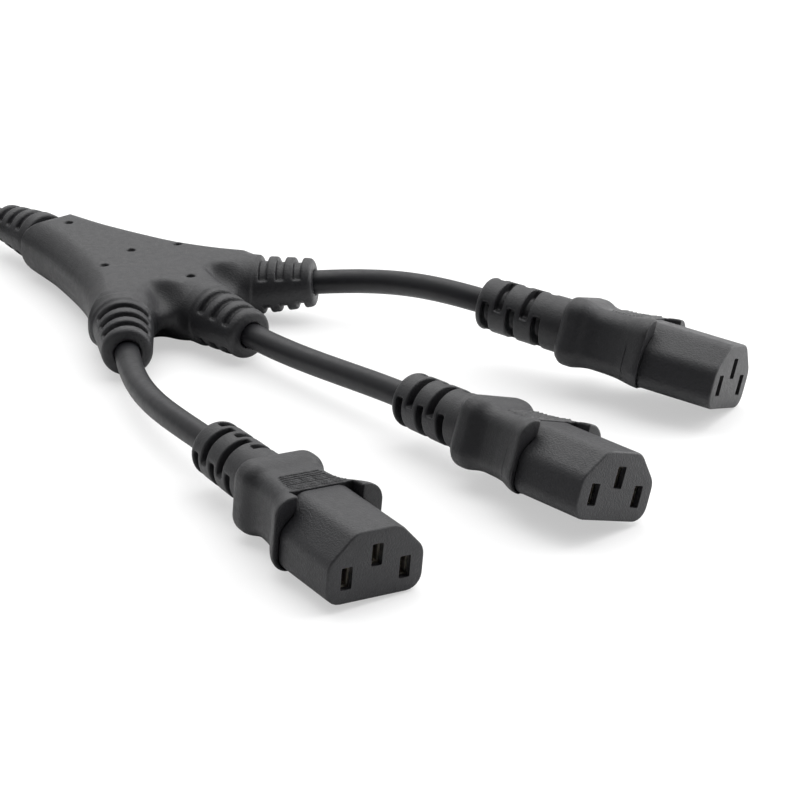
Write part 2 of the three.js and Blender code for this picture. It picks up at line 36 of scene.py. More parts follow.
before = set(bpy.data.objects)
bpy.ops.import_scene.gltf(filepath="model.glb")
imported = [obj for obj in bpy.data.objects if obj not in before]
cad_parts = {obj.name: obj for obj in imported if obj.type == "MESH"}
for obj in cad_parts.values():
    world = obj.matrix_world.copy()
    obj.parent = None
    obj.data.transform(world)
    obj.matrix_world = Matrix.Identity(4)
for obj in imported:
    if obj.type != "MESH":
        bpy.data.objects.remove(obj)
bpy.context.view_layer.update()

# Camera: place, direction and lens of the photograph
CAMERA_AT = (458.5, -377.3, 254.4)
CAMERA_AZIMUTH = 47.8
CAMERA_ELEVATION = 23.78
CAMERA_ROLL = 0.37
CAMERA_LENS = 120.15
SENSOR_WIDTH = 36.0

# Round cord: lobes of its cores that wind by radians a millimetre, and the fit and eased edge of its bores
CORD_RADIUS = 3.1
CORD_LOBES = {"count": 3, "depth": 0.12, "twist": 0.02}
CORD_FIT = 0.12
BORE_EDGE = 0.25
OUTLET_CORD_SIDES = 32
LEAD_SIDES = 20
BEND_POINTS = {"outlet": 26, "lead": 20}

# Splitter block: a fan of necks around its apex
APEX = (-62.33, -1.7)
BLOCK_HALF_HEIGHT = 8.0
BLOCK_ROUND = 7.0
FAN_ANGLE = 35.7
ARM_END = 35.0
ARM_HALF_WIDTH = 8.0
FRONT_REACH = 35.0
BLOCK_FLARE = [(-32.5, 8.4), (-18, 10.5), (-9, 12.7), (1, 15.5), (10, 18.7), (17, 21.9)]
SHEATH_END_OUTLET = 33.0
CHAMBER_REAR = -24.0
OUTLET_ROOT = {"middle": 26, "half_length": 10}
OUTLET_NECK = {"start": 33, "shoulder": 35, "base": 7.6, "end": 51, "tip": 6.1, "pitch": 4.3}
INPUT_NECK = {"start": 33, "shoulder": 36, "base": 6.9, "end": 51.2, "tip": 5, "pitch": 4.9}
NECK_ROUND = 1.4
NECK_GROOVE = {"width": 2, "depth": 1.3, "first": 3.6, "count": 3, "span": 124, "edge": 0.5}
GROOVE_ROUND = {"floor": 0.5, "ends": 0.6}
OUTLETS = [
    {"angle": -FAN_ANGLE, "extra": 0, "aside": 2.5, "up": -3},
    {"angle": 0, "extra": 1.8, "aside": 0, "up": -2.5},
    {"angle": FAN_ANGLE, "extra": 0, "aside": 5, "up": 6},
]
DIMPLES = [(-22.3, 0), (4.7, 0), (29.2, 0), (9, 11.5), (9, -11.5)]
DIMPLE_RADIUS = 1.1
DIMPLE_DEPTH = 1.0
WEB_SCOOP = {"along": 38, "reach": (11, 5.8, 6.6), "level": 8.6}
BLOCK_BLEND = {"web": 2.4, "root": 3.0, "neck": 1.0, "face": 0.5, "dimple": 0.3}

# Connectors: seam centre from the apex, height, yaw, nose-up pitch, roll, and the cord's straight ends
CONNECTOR_PLACES = [
    {"x": 146.7, "y": -56.08, "z": 8.7, "yaw": -8.5, "pitch": -0.6, "roll": 4.8, "leave": 24, "arrive": 22},
    {"x": 157.4, "y": -0.6, "z": 10.76, "yaw": 0, "pitch": 1, "roll": 19.7, "leave": 20, "arrive": 20},
    {"x": 133.9, "y": 57.6, "z": 11.77, "yaw": 18.2, "pitch": -5, "roll": 20, "leave": 18, "arrive": 18},
]
RELIEF = {"end": 46.7, "joint": 19.7, "tip": 6.4, "base": 6.8, "round": 1.8, "blend": 0.5}
RELIEF_SLOT = {"width": 2.2, "depth": 2.4, "first": 2.8, "pitch": 3.45, "count": 5, "span": 105, "edge": 0.35}
SHEATH_END_CONNECTOR = 25.7

# Coil of the lead: two layers of three turns, and the plug on its tail
TURN_PITCH = 6.5
COIL_MIDDLE = 37.2
COIL_FLOOR = 0.9
LEAD_STRAIGHT = 12.0
LEAD_LENGTH = 56.0
TAIL_LENGTH = 34
TAIL_STEPS = 8
PLUG_HEIGHT = 10.5
COIL_AT = (APEX[0] - INPUT_NECK["end"] - LEAD_LENGTH, APEX[1] - COIL_MIDDLE - TURN_PITCH)
LOWER_TURN = COIL_FLOOR + CORD_RADIUS
UPPER_TURN = LOWER_TURN + TURN_PITCH
PLUG_AT = (COIL_AT[0] + TAIL_LENGTH + RELIEF["end"], COIL_AT[1] - COIL_MIDDLE - TURN_PITCH, PLUG_HEIGHT)
TIE = {"width": 8, "band": 0.6, "slack": 0.6, "angle": 205, "radius": 3.0, "corner_steps": 6}
TIE_LAP = {"offset": (0.1, -0.05, 0), "end": 15, "gap": 0.12, "share": 0.9}

# Surface nets: two corners of the grid around a piece, and its steps
BLOCK_NET = ((-52.2, -37.5, -9), (54, 38.5, 9.4), (0.42, 0.42, 0.42))
HOOD_NET = ((-47.1, -13.8, -9), (0.7, 13.8, 9.6), (0.2, 0.4, 0.4))
PLUG_NET = ((-47.1, -15.2, -11.2), (18.9, 15.2, 11.2), (0.5, 0.5, 0.5))

# Materials: tint of the greys, and the range that noise hardly leaves
GREY_TINT = (0.97, 0.98, 1.16)
PLASTIC_IOR = 1.5
PLASTIC_DARK = 0.008
PLASTIC_ROUGHNESS = 0.5
NOISE_LOW = 0.3
NOISE_HIGH = 0.7

# Studio, in metres: brightness of the surroundings from the camera's side ("near") round to behind the part,
# and softboxes by place, target, side and power
FLOOR = {"half_size": 4, "drop": 0.0002, "shade": 0.9, "glow": 0.5}
WORLD = {"near": 0.12, "far": 1.0, "rise": 0.5, "from": -0.3, "to": 0.7}
SOFTBOXES = {
    "softbox_above": ((-0.25, 0.35, 1.1), (0, 0, 0), 1.8, 21),
    "softbox_behind": ((0.45, 1.0, 0.3), (0.06, 0.03, 0), 1.0, 14),
}


def make_camera():
    azimuth, elevation, roll = (math.radians(a) for a in (CAMERA_AZIMUTH, CAMERA_ELEVATION, CAMERA_ROLL))
    forward = Vector((
        -math.sin(azimuth) * math.cos(elevation),
        math.cos(azimuth) * math.cos(elevation),
        -math.sin(elevation),
    ))
    right = Vector((math.cos(azimuth), math.sin(azimuth), 0))
    up = right.cross(forward)
    across = right * math.cos(roll) + up * math.sin(roll)
    above = up * math.cos(roll) - right * math.sin(roll)
    data = bpy.data.cameras.new("camera")
    data.lens = CAMERA_LENS
    data.sensor_width = SENSOR_WIDTH
    data.clip_start = 0.01
    data.clip_end = 50
    camera = bpy.data.objects.new("camera", data)
    turn = Matrix((across, above, -forward)).transposed().to_4x4()
    camera.matrix_world = Matrix.Translation(Vector(CAMERA_AT) * MM) @ turn
    bpy.context.collection.objects.link(camera)
    bpy.context.scene.camera = camera


def turn_about(axis, degrees):
    return Matrix.Rotation(math.radians(degrees), 4, axis)


def shift(x, y=0, z=0):
    return Matrix.Translation((x, y, z))


# From block coordinates, around the apex at mid height, to the part's frame
ON_BLOCK = shift(*APEX, BLOCK_HALF_HEIGHT)
ON_INPUT = turn_about("Z", 180)


def place_on_outlet(outlet):
    """Ribbed end of an outlet neck, bent about its shoulder: from neck to block coordinates."""
    shoulder = OUTLET_NECK["shoulder"]
    bend = turn_about("Z", outlet["aside"]) @ turn_about("Y", -outlet["up"])
    return turn_about("Z", outlet["angle"]) @ shift(shoulder + outlet["extra"]) @ bend @ shift(-shoulder)


def connector_matrix(place):
    turn = turn_about("Z", place["yaw"]) @ turn_about("Y", -place["pitch"]) @ turn_about("X", -place["roll"])
    return shift(APEX[0] + place["x"], APEX[1] + place["y"], place["z"]) @ turn


# Cords
def bezier(points, count):
    """Points along a cubic curve, without its ends."""
    a, b, c, d = points
    result = []
    for i in range(1, count + 1):
        t = i / (count + 1)
        u = 1 - t
        result.append(a * u**3 + b * (3 * u * u * t) + c * (3 * u * t * t) + d * t**3)
    return result


def bent_route(start, leave, leave_handle, arrive_handle, arrive, end, bend_points):
    """Straight, one smooth bend, straight, as points."""
    bend = bezier((leave, leave_handle, arrive_handle, arrive), bend_points)
    return [start, start.lerp(leave, 0.5), leave, *bend, arrive, arrive.lerp(end, 0.5), end]


def outlet_route(number):
    place = CONNECTOR_PLACES[number - 1]
    on_neck = ON_BLOCK @ place_on_outlet(OUTLETS[number - 1])
    on_connector = connector_matrix(place)
    neck_end = OUTLET_NECK["end"]
    return bent_route(
        on_neck @ Vector((SHEATH_END_OUTLET, 0, 0)),
        on_neck @ Vector((neck_end, 0, 0)),
        on_neck @ Vector((neck_end + place["leave"], 0, 0)),
        on_connector @ Vector((-RELIEF["end"] - place["arrive"], 0, 0)),
        on_connector @ Vector((-RELIEF["end"], 0, 0)),
        on_connector @ Vector((-SHEATH_END_CONNECTOR, 0, 0)),
        BEND_POINTS["outlet"],
    )


def lead_route():
    """From the block's splice chamber down to the floor, as far as the coil."""
    neck_x = APEX[0] - INPUT_NECK["end"]
    at = [
        (APEX[0] + CHAMBER_REAR, BLOCK_HALF_HEIGHT),
        (neck_x, BLOCK_HALF_HEIGHT),
        (neck_x - LEAD_STRAIGHT, BLOCK_HALF_HEIGHT),
        (COIL_AT[0] + 2 * LEAD_STRAIGHT, LOWER_TURN),
        (COIL_AT[0] + LEAD_STRAIGHT, LOWER_TURN),
        (COIL_AT[0] + LEAD_STRAIGHT / 2, LOWER_TURN),
    ]
    return bent_route(*(Vector((x, APEX[1], z)) for x, z in at), BEND_POINTS["lead"])


def coil_route():
    """Three turns inwards on the floor, a climb, and three turns outwards on top of them."""
    outer = COIL_MIDDLE + TURN_PITCH
    inner = COIL_MIDDLE - TURN_PITCH
    stages = [
        (90, outer, LOWER_TURN),
        (330, outer, LOWER_TURN),
        (450, COIL_MIDDLE, LOWER_TURN),
        (690, COIL_MIDDLE, LOWER_TURN),
        (810, inner, LOWER_TURN),
        (1010, inner, LOWER_TURN),
        (1110, inner, UPPER_TURN),
        (1310, inner, UPPER_TURN),
        (1430, COIL_MIDDLE, UPPER_TURN),
        (1670, COIL_MIDDLE, UPPER_TURN),
        (1790, outer, UPPER_TURN),
        (2070, outer, UPPER_TURN),
    ]
    degrees_a_point = 10
    points = []
    for (a0, r0, z0), (a1, r1, z1) in zip(stages, stages[1:]):
        for a in range(a0, a1, degrees_a_point):
            t = (a - a0) / (a1 - a0)
            ease = 0.5 - 0.5 * math.cos(math.pi * t)
            radius = r0 + (r1 - r0) * ease
            angle = math.radians(a)
            points.append(Vector((
                COIL_AT[0] + radius * math.cos(angle),
                COIL_AT[1] + radius * math.sin(angle),
                z0 + (z1 - z0) * ease,
            )))
    return points


def tail_route():
    x0 = COIL_AT[0]
    x1 = PLUG_AT[0] - SHEATH_END_CONNECTOR
    return [Vector((x0 + (x1 - x0) * i / TAIL_STEPS, PLUG_AT[1], UPPER_TURN)) for i in range(TAIL_STEPS + 1)]


# Meshes
def mesh_from(name, vertices, faces, smooth=True):
    mesh = bpy.data.meshes.new(name)
    mesh.from_pydata([tuple(v) for v in vertices], [], [tuple(f) for f in faces])
    mesh.polygons.foreach_set("use_smooth", [smooth] * len(mesh.polygons))
    mesh.update()
    return mesh


def add_piece(name, mesh, material, replaced=()):
    piece = bpy.data.objects.new(name, mesh)
    bpy.context.collection.objects.link(piece)
    mesh.materials.append(material)
    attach(piece, BODY)
    if replaced:
        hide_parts(*replaced)
    return piece


def ring_faces(rings, sides):
    """Quads between each ring of vertices and the next."""
    faces = []
    for i in range(rings - 1):
        for k in range(sides):
            a = i * sides + k
            b = i * sides + (k + 1) % sides
            faces.append((a, b, b + sides, a + sides))
    return faces


def tube_mesh(name, points, sides):
    """Cord along points, with shallow lobes that wind along it like the cores under a sheath."""
    count = len(points)
    tangents = [(points[min(i + 1, count - 1)] - points[max(i - 1, 0)]).normalized() for i in range(count)]
    normal = tangents[0].cross(Vector((0, 0, 1))).normalized()
    travelled = 0.0
    vertices = []
    for i, (point, tangent) in enumerate(zip(points, tangents)):
        if i:
            travelled += (point - points[i - 1]).length
            normal = (normal - tangent * normal.dot(tangent)).normalized()
        side = tangent.cross(normal)
        for k in range(sides):
            angle = 2 * math.pi * k / sides
            wave = math.cos(CORD_LOBES["count"] * (angle + CORD_LOBES["twist"] * travelled))
            r = CORD_RADIUS - CORD_LOBES["depth"] * (0.5 - 0.5 * wave)
            vertices.append((point + (normal * math.cos(angle) + side * math.sin(angle)) * r) * MM)
    faces = ring_faces(count, sides)
    faces.append(tuple(reversed(range(sides))))
    faces.append(tuple(range((count - 1) * sides, count * sides)))
    return mesh_from(name, vertices, faces)


# Signed distances, in millimetres
def smooth_min(a, b, k):
    h = np.clip(0.5 + 0.5 * (b - a) / k, 0, 1)
    return b * (1 - h) + a * h - k * h * (1 - h)


def smooth_max(a, b, k):
    return -smooth_min(-a, -b, k)


def local(matrix, x, y, z):
    """Coordinates in a piece's own frame, for arrays in the frame around it."""
    m = np.array(matrix.inverted())
    return tuple(m[i, 0] * x + m[i, 1] * y + m[i, 2] * z + m[i, 3] for i in range(3))


def polygon_distance(x, y, corners):
    """Distance to a closed outline, less than nothing inside it."""
    nearest = np.full(np.broadcast(x, y).shape, np.inf)
    inside = np.zeros(nearest.shape, bool)
    for (x0, y0), (x1, y1) in zip(corners, np.roll(corners, -1, axis=0)):
        dx, dy = x1 - x0, y1 - y0
        t = np.clip(((x - x0) * dx + (y - y0) * dy) / (dx * dx + dy * dy), 0, 1)
        nearest = np.minimum(nearest, np.hypot(x - x0 - t * dx, y - y0 - t * dy))
        crosses = (y0 > y) != (y1 > y)
        inside ^= crosses & (x < x0 + (y - y0) * dx / (dy if dy else 1e-9))
    return np.where(inside, -nearest, nearest)


def rounded_slab(flat, z, half_height, radius):
    """A flat outline's distance made into a slab with round edges."""
    a = flat + radius
    b = np.abs(z) - (half_height - radius)
    return np.hypot(np.maximum(a, 0), np.maximum(b, 0)) + np.minimum(np.maximum(a, b), 0) - radius


def box_distance(offsets, halves, radius=0.0):
    q = [np.abs(o) - h + radius for o, h in zip(offsets, halves)]
    outside = np.sqrt(sum(np.maximum(v, 0) ** 2 for v in q))
    return outside + np.minimum(np.maximum(np.maximum(q[0], q[1]), q[2]), 0) - radius


def ellipsoid_distance(offsets, reach):
    near = np.sqrt(sum((o / r) ** 2 for o, r in zip(offsets, reach)))
    slope = np.sqrt(sum((o / r**2) ** 2 for o, r in zip(offsets, reach)))
    return near * (near - 1) / np.maximum(slope, 1e-6)


def groove_distance(s, rho, angle, station, half_width, floor, half_span):
    """Part of a ring cut: along the axis, down to a floor radius, and round to each side of its middle."""
    along = np.abs(s - station) - half_width
    aside = (np.abs(angle) - math.radians(half_span)) * rho
    return smooth_max(smooth_max(along, floor - rho, GROOVE_ROUND["floor"]), aside, GROOVE_ROUND["ends"])


def neck_distance(s, across, up, neck):
    """Ribbed tapered neck along s, with its grooves over the top and under the bottom."""
    rho = np.hypot(across, up)
    angle = np.arctan2(np.abs(across), np.abs(up))
    taper = (neck["base"] - neck["tip"]) / (neck["end"] - neck["shoulder"])
    radius = neck["base"] - taper * np.clip(s - neck["shoulder"], 0, None)
    barrel = smooth_max(rho - radius, s - neck["end"], NECK_ROUND)
    half_width, half_span = NECK_GROOVE["width"] / 2, NECK_GROOVE["span"] / 2
    for i in range(NECK_GROOVE["count"]):
        station = neck["end"] - NECK_GROOVE["first"] - i * neck["pitch"]
        floor = neck["base"] - taper * (station - neck["shoulder"]) - NECK_GROOVE["depth"]
        groove = groove_distance(s, rho, angle, station, half_width, floor, half_span)
        barrel = smooth_max(barrel, -groove, NECK_GROOVE["edge"])
    return np.maximum(barrel, neck["start"] - s)


def block_outline():
    """Outline of the block seen from above, with its flared sides smoothed."""
    angle = math.radians(FAN_ANGLE)
    corner = (
        ARM_END * math.cos(angle) - ARM_HALF_WIDTH * math.sin(angle),
        ARM_END * math.sin(angle) + ARM_HALF_WIDTH * math.cos(angle),
    )
    side_points, arc_points, reach = 40, 24, 2
    xs, ys = zip(*BLOCK_FLARE, corner)
    fine = np.linspace(xs[0], xs[-1], side_points)
    side = np.interp(fine, xs, ys)
    window = 2 * reach + 1
    side[reach:-reach] = np.convolve(side, np.ones(window) / window, "valid")
    front = math.atan2(corner[1], corner[0])
    turns = np.linspace(front, -front, arc_points)
    arc = [(FRONT_REACH * math.cos(a), FRONT_REACH * math.sin(a)) for a in turns]
    far = list(zip(fine, side))
    near = [(x, -y) for x, y in reversed(far)]
    return np.array(far + arc[1:-1] + near)


def block_distance(x, y, z):
    """Splitter block around its apex, at mid height."""
    plate = rounded_slab(polygon_distance(x, y, block_outline()), z, BLOCK_HALF_HEIGHT, BLOCK_ROUND)
    for turn in (-FAN_ANGLE / 2, FAN_ANGLE / 2):
        u, v, w = local(turn_about("Z", turn), x, y, z)
        offsets = (u - WEB_SCOOP["along"], v, np.abs(w) - WEB_SCOOP["level"])
        plate = smooth_max(plate, -ellipsoid_distance(offsets, WEB_SCOOP["reach"]), BLOCK_BLEND["web"])
    shape = plate
    for outlet in OUTLETS:
        s, v, w = local(turn_about("Z", outlet["angle"]) @ shift(outlet["extra"]), x, y, z)
        along = np.abs(s - OUTLET_ROOT["middle"]) - OUTLET_ROOT["half_length"]
        root = np.maximum(np.hypot(v, w) - OUTLET_NECK["base"], along)
        shape = smooth_min(shape, root, BLOCK_BLEND["root"])
    for matrix, neck in [(place_on_outlet(o), OUTLET_NECK) for o in OUTLETS] + [(ON_INPUT, INPUT_NECK)]:
        s, v, w = local(matrix, x, y, z)
        shape = smooth_min(shape, neck_distance(s, v, w, neck), BLOCK_BLEND["neck"])
        bore = np.maximum(np.hypot(v, w) - CORD_RADIUS - CORD_FIT, SHEATH_END_OUTLET - s)
        shape = smooth_max(shape, -bore, BORE_EDGE)
    shape = smooth_max(shape, np.abs(z) - BLOCK_HALF_HEIGHT, BLOCK_BLEND["face"])
    for u, v in DIMPLES:
        pit = np.maximum(np.hypot(x - u, y - v) - DIMPLE_RADIUS, BLOCK_HALF_HEIGHT - DIMPLE_DEPTH - z)
        shape = smooth_max(shape, -pit, BLOCK_BLEND["dimple"])
    return shape


# Connector, in its own frame: its axis along x, with the seam between nose and hood at x = 0
NOSE = {"length": 18.3, "half_width": 11.6, "half_height": 7.7, "chamfer": 6.2}
CUT_GROWTH = 0.41  # what its cut corners grow by, as a share of how far the outline grows
NOSE_RADIUS = {"top": 4.2, "bottom": 3.6, "least": 0.5}
NOSE_RIM = 0.5
CONTACT_AT = {"line": (-7, -2), "neutral": (7, -2), "earth": (0, 2)}
SLOT = {"width": 2.6, "height": 4.9, "wall": 1.3, "ease": 0.25}
CONTACT_CHAMBER = {"width": 5.2, "height": 6.6}
BLOCK_ROOT = {"length": 4.2, "inset": 1.1}
TOP_RECESS = {"length": 4, "half_width": 7.9, "half_height": 5, "radius": 0.4, "floor": 5.1, "tongue": 4.6}
GRIP_RIB = {"rear": 12.9, "front": 4.1, "count": 9, "height": 0.8, "above": 3, "fade": 0.3, "front_fade": 0.2}
GRIP_RIB_HALF_WIDTH = (5.0, 7.0)
GRIP_RIB_WAVE = {"height": 0.06, "length": 3.1}
FIT = 0.3
TONGUE_FIT = 0.05
SEAM_GAP = 0.12
SEAM_DEPTH = 0.5
HOOD_EDGE = {"end": 0.25, "recess": 0.3, "seam": 0.15, "shroud": 0.35}
OVERRUN = 1  # how far a cut runs past the surface that it opens

# Grip: distance behind the seam, half width, top, bottom, corner radius
GRIP_SECTIONS = [
    (22.9, 8.9, 7.1, 7.1, 3.6),
    (21.9, 9.9, 8.1, 8.1, 4.2),
    (20.8, 10.1, 8.3, 8.3, 4.3),
    (18.6, 10.1, 8.3, 8.3, 4.3),
    (17.4, 9.7, 7.95, 8, 4.2),
    (16.2, 8.9, 7.4, 7.7, 3.9),
    (14.5, 8.4, 7.15, 7.5, 3.7),
    (12.5, 8.5, 7.2, 7.5, 3.7),
    (9.7, 8.9, 7.3, 7.5, 3.8),
    (6.7, 9.8, 7.6, 7.6, 4),
    (4.1, 11.4, 8.1, 7.8, 4.2),
    (2.1, 12.55, 8.45, 7.95, 4.3),
    (0.9, 13.05, 8.6, 8, 4.3),
    (0, 13.1, 8.6, 8, 4.3),
]
PLUG_SECTIONS = [
    (22.9, 8.9, 7.1, 7.1, 3.6),
    (21.9, 9.8, 8, 8, 4.3),
    (20.3, 10.2, 8.4, 8.4, 4.5),
    (16.2, 10.2, 8.4, 8.4, 4.5),
    (14.2, 9.8, 8, 8, 4.2),
    (9.7, 11, 8.6, 8.6, 4.2),
    (5.7, 13, 9.8, 9.8, 4.6),
    (1.7, 14.4, 10.5, 10.5, 5),
    (-18.3, 14.4, 10.5, 10.5, 5),
]
SHROUD_CLEARANCE = 0.6
CARRIER = {"front": 0.5, "back": 4.7, "inset": 0.3, "ease": 0.3}
PIN = {"width": 2, "height": 4, "tip": 2.5, "back": 7.7, "point": 0.55, "ease": 0.3}

# Angles between faces, in degrees, from which an edge is shaded sharp
HARD_SHARP_FROM = 32
STRAP_SHARP_FROM = 40


def rounded_outline(corners, steps=6):
    """Anticlockwise outline through (y, z, radius) corners, each rounded off."""
    points = []
    before = corners[-1:] + corners[:-1]
    after = corners[1:] + corners[:1]
    for (y0, z0, _), (y, z, radius), (y1, z1, _) in zip(before, corners, after):
        at = Vector((y, z))
        back = (Vector((y0, z0)) - at).normalized()
        on = (Vector((y1, z1)) - at).normalized()
        half = back.angle(on) / 2
        centre = at + (back + on).normalized() * radius / math.sin(half)
        first = at + back * radius / math.tan(half) - centre
        sweep = math.pi - 2 * half
        for i in range(steps + 1):
            turned = Matrix.Rotation(sweep * i / steps, 2) @ first
            points.append((centre.x + turned.x, centre.y + turned.y))
    return points


def nose_outline(grow=0.0, steps=6):
    """Outline of the nose: two cut top corners and two rounded bottom ones."""
    w = NOSE["half_width"] + grow
    h = NOSE["half_height"] + grow
    cut = NOSE["chamfer"] + CUT_GROWTH * grow
    top = max(NOSE_RADIUS["top"] + grow, NOSE_RADIUS["least"])
    bottom = max(NOSE_RADIUS["bottom"] + grow, NOSE_RADIUS["least"])
    corners = [(w, h - cut, top), (w - cut, h, top), (cut - w, h, top), (-w, h - cut, top)]
    return np.array(rounded_outline([*corners, (-w, -h, bottom), (w, -h, bottom)], steps))


def rounded_profile(sections, column, blur=0.45):
    """A section size against x, with its corners rounded."""
    margin, step = 3, 0.1
    fine = np.arange(-sections[0][0] - margin, -sections[-1][0] + margin, step)
    values = np.interp(fine, [-s[0] for s in sections], [s[column] for s in sections])
    reach = np.arange(-3 * blur, 3 * blur + step / 2, step)
    kernel = np.exp(-0.5 * (reach / blur) ** 2)
    padded = np.pad(values, len(reach) // 2, mode="edge")
    smooth = np.convolve(padded, kernel / kernel.sum(), "valid")
    return fine, smooth[: len(fine)]


def sections_distance(x, y, z, sections):
    """Body through rounded rectangles along x."""
    w, top, bottom, radius = (np.interp(x, *rounded_profile(sections, c)) for c in (1, 2, 3, 4))
    half = (top + bottom) / 2
    a = np.abs(y) - (w - radius)
    b = np.abs(z - (top - bottom) / 2) - (half - radius)
    skin = np.hypot(np.maximum(a, 0), np.maximum(b, 0)) + np.minimum(np.maximum(a, b), 0) - radius
    ends = np.maximum(-sections[0][0] - x, x + sections[-1][0])
    return smooth_max(skin, ends, HOOD_EDGE["end"])


def relief_distance(x, y, z):
    """Strain relief with its staggered slots."""
    rho = np.hypot(y, z)
    share = np.clip((x + RELIEF["end"]) / (RELIEF["end"] - RELIEF["joint"]), 0, 1)
    radius = RELIEF["tip"] + (RELIEF["base"] - RELIEF["tip"]) * share
    barrel = smooth_max(rho - radius, -RELIEF["end"] - x, RELIEF["round"])
    barrel = np.maximum(barrel, x + RELIEF["joint"])
    angle = np.degrees(np.arctan2(z, y))
    for i in range(RELIEF_SLOT["count"]):
        station = RELIEF_SLOT["first"] + i * RELIEF_SLOT["pitch"] - RELIEF["end"]
        middle = 45 if i % 2 == 0 else 135
        off = np.radians((angle - middle + 90) % 180 - 90)
        floor = RELIEF["tip"] - RELIEF_SLOT["depth"]
        slot = groove_distance(x, rho, off, station, RELIEF_SLOT["width"] / 2, floor, RELIEF_SLOT["span"] / 2)
        barrel = smooth_max(barrel, -slot, RELIEF_SLOT["edge"])
    return barrel


def cord_bore(x, y, z):
    return np.maximum(np.hypot(y, z) - CORD_RADIUS - CORD_FIT, x + SHEATH_END_CONNECTOR)


def grip_ribs(x, y):
    """Height of the slightly wavy ribs across the top of the grip."""
    rear, front = GRIP_RIB["rear"], GRIP_RIB["front"]
    share = np.clip((rear + x) / (rear - front), 0, 1)
    half_width = GRIP_RIB_HALF_WIDTH[0] + (GRIP_RIB_HALF_WIDTH[1] - GRIP_RIB_HALF_WIDTH[0]) * share
    inside = np.clip((half_width - np.abs(y)) / GRIP_RIB["fade"], 0, 1)
    inside = inside * np.clip((rear + x) / GRIP_RIB["fade"], 0, 1)
    inside = inside * np.clip((-x - front) / GRIP_RIB["front_fade"], 0, 1)
    wave = x + rear + GRIP_RIB_WAVE["height"] * np.sin(2 * math.pi * y / GRIP_RIB_WAVE["length"])
    rib = 0.5 - 0.5 * np.cos(2 * math.pi * wave * GRIP_RIB["count"] / (rear - front))
    return GRIP_RIB["height"] * inside * (rib - 0.5)


def hood_distance(x, y, z):
    """Soft hood of a connector: its top recess lets the nose's top run back into it."""
    grip = sections_distance(x, y, z, GRIP_SECTIONS)
    grip = grip - np.where(z > GRIP_RIB["above"], grip_ribs(x, y), 0)
    shape = smooth_min(grip, relief_distance(x, y, z), RELIEF["blend"])
    recess = box_distance(
        (x - OVERRUN, y, z - TOP_RECESS["floor"] - TOP_RECESS["half_height"]),
        (TOP_RECESS["length"] + OVERRUN, TOP_RECESS["half_width"], TOP_RECESS["half_height"]),
        TOP_RECESS["radius"],
    )
    pocket = np.maximum(
        polygon_distance(y, z, nose_outline(FIT - BLOCK_ROOT["inset"])), -BLOCK_ROOT["length"] - FIT - x
    )
    around = polygon_distance(y, z, nose_outline(SEAM_GAP))
    tongue = np.maximum(np.maximum(around, -TOP_RECESS["length"] - x), TOP_RECESS["tongue"] - z)
    seam = np.maximum(around, -SEAM_DEPTH - x)
    shape = smooth_max(shape, -recess, HOOD_EDGE["recess"])
    shape = smooth_max(shape, -np.minimum(np.minimum(pocket, seam), tongue), HOOD_EDGE["seam"])
    return smooth_max(shape, -cord_bore(x, y, z), BORE_EDGE)


def plug_hood_distance(x, y, z):
    """Hood of the input plug, with the recess around its pins."""
    shape = smooth_min(sections_distance(x, y, z, PLUG_SECTIONS), relief_distance(x, y, z), RELIEF["blend"])
    flat = polygon_distance(y, z, nose_outline(SHROUD_CLEARANCE))
    recess = np.maximum(flat, -CARRIER["back"] - FIT - x)
    shape = smooth_max(shape, -recess, HOOD_EDGE["shroud"])
    return smooth_max(shape, -cord_bore(x, y, z), BORE_EDGE)


def net_vertices(value, axes, cells):
    """One vertex in each cell that the surface crosses: the middle of the crossings on its edges."""
    corners = np.array([(i, j, k) for i in (0, 1) for j in (0, 1) for k in (0, 1)])
    at = cells[:, None, :] + corners[None]
    values = value[at[..., 0], at[..., 1], at[..., 2]]
    pairs = [(a, b) for a in range(8) for b in range(a + 1, 8) if np.abs(corners[a] - corners[b]).sum() == 1]
    total = np.zeros((len(cells), 3))
    count = np.zeros(len(cells))
    for a, b in pairs:
        crossed = (values[:, a] < 0) != (values[:, b] < 0)
        t = np.where(crossed, values[:, a] / np.where(crossed, values[:, a] - values[:, b], 1), 0)
        point = corners[a] + t[:, None] * (corners[b] - corners[a])
        total += np.where(crossed[:, None], point, 0)
        count += crossed
    place = cells + total / count[:, None]
    return np.stack([axes[i][0] + place[:, i] * (axes[i][1] - axes[i][0]) for i in range(3)], axis=1)


def net_faces(inside, index):
    """A quad around each grid edge that crosses the surface, facing out."""
    faces = []
    for axis in range(3):
        b, c = (axis + 1) % 3, (axis + 2) % 3
        first = np.take(inside, range(inside.shape[axis] - 1), axis=axis)
        second = np.take(inside, range(1, inside.shape[axis]), axis=axis)
        edges = np.argwhere(first != second)
        step_b = np.eye(3, dtype=int)[b]
        step_c = np.eye(3, dtype=int)[c]
        ring = [edges - step_b - step_c, edges - step_c, edges, edges - step_b]
        quad = np.stack([index[r[:, 0], r[:, 1], r[:, 2]] for r in ring], axis=1)
        out = first[edges[:, 0], edges[:, 1], edges[:, 2]]
        faces.append(np.where(out[:, None], quad, quad[:, ::-1]))
    return np.concatenate(faces)


def settle(points, distance, rounds=3, nudge=0.02, least_slope=0.25, longest_move=0.15):
    """Moves points onto the surface along its slope."""
    for _ in range(rounds):
        x, y, z = points.T
        value = distance(x, y, z)
        slope = np.stack([
            distance(x + nudge, y, z) - distance(x - nudge, y, z),
            distance(x, y + nudge, z) - distance(x, y - nudge, z),
            distance(x, y, z + nudge) - distance(x, y, z - nudge),
        ], axis=1) / (2 * nudge)
        size = np.maximum((slope**2).sum(axis=1), least_slope)
        move = np.clip(value / size, -longest_move, longest_move)
        points = points - slope * move[:, None]
    return points


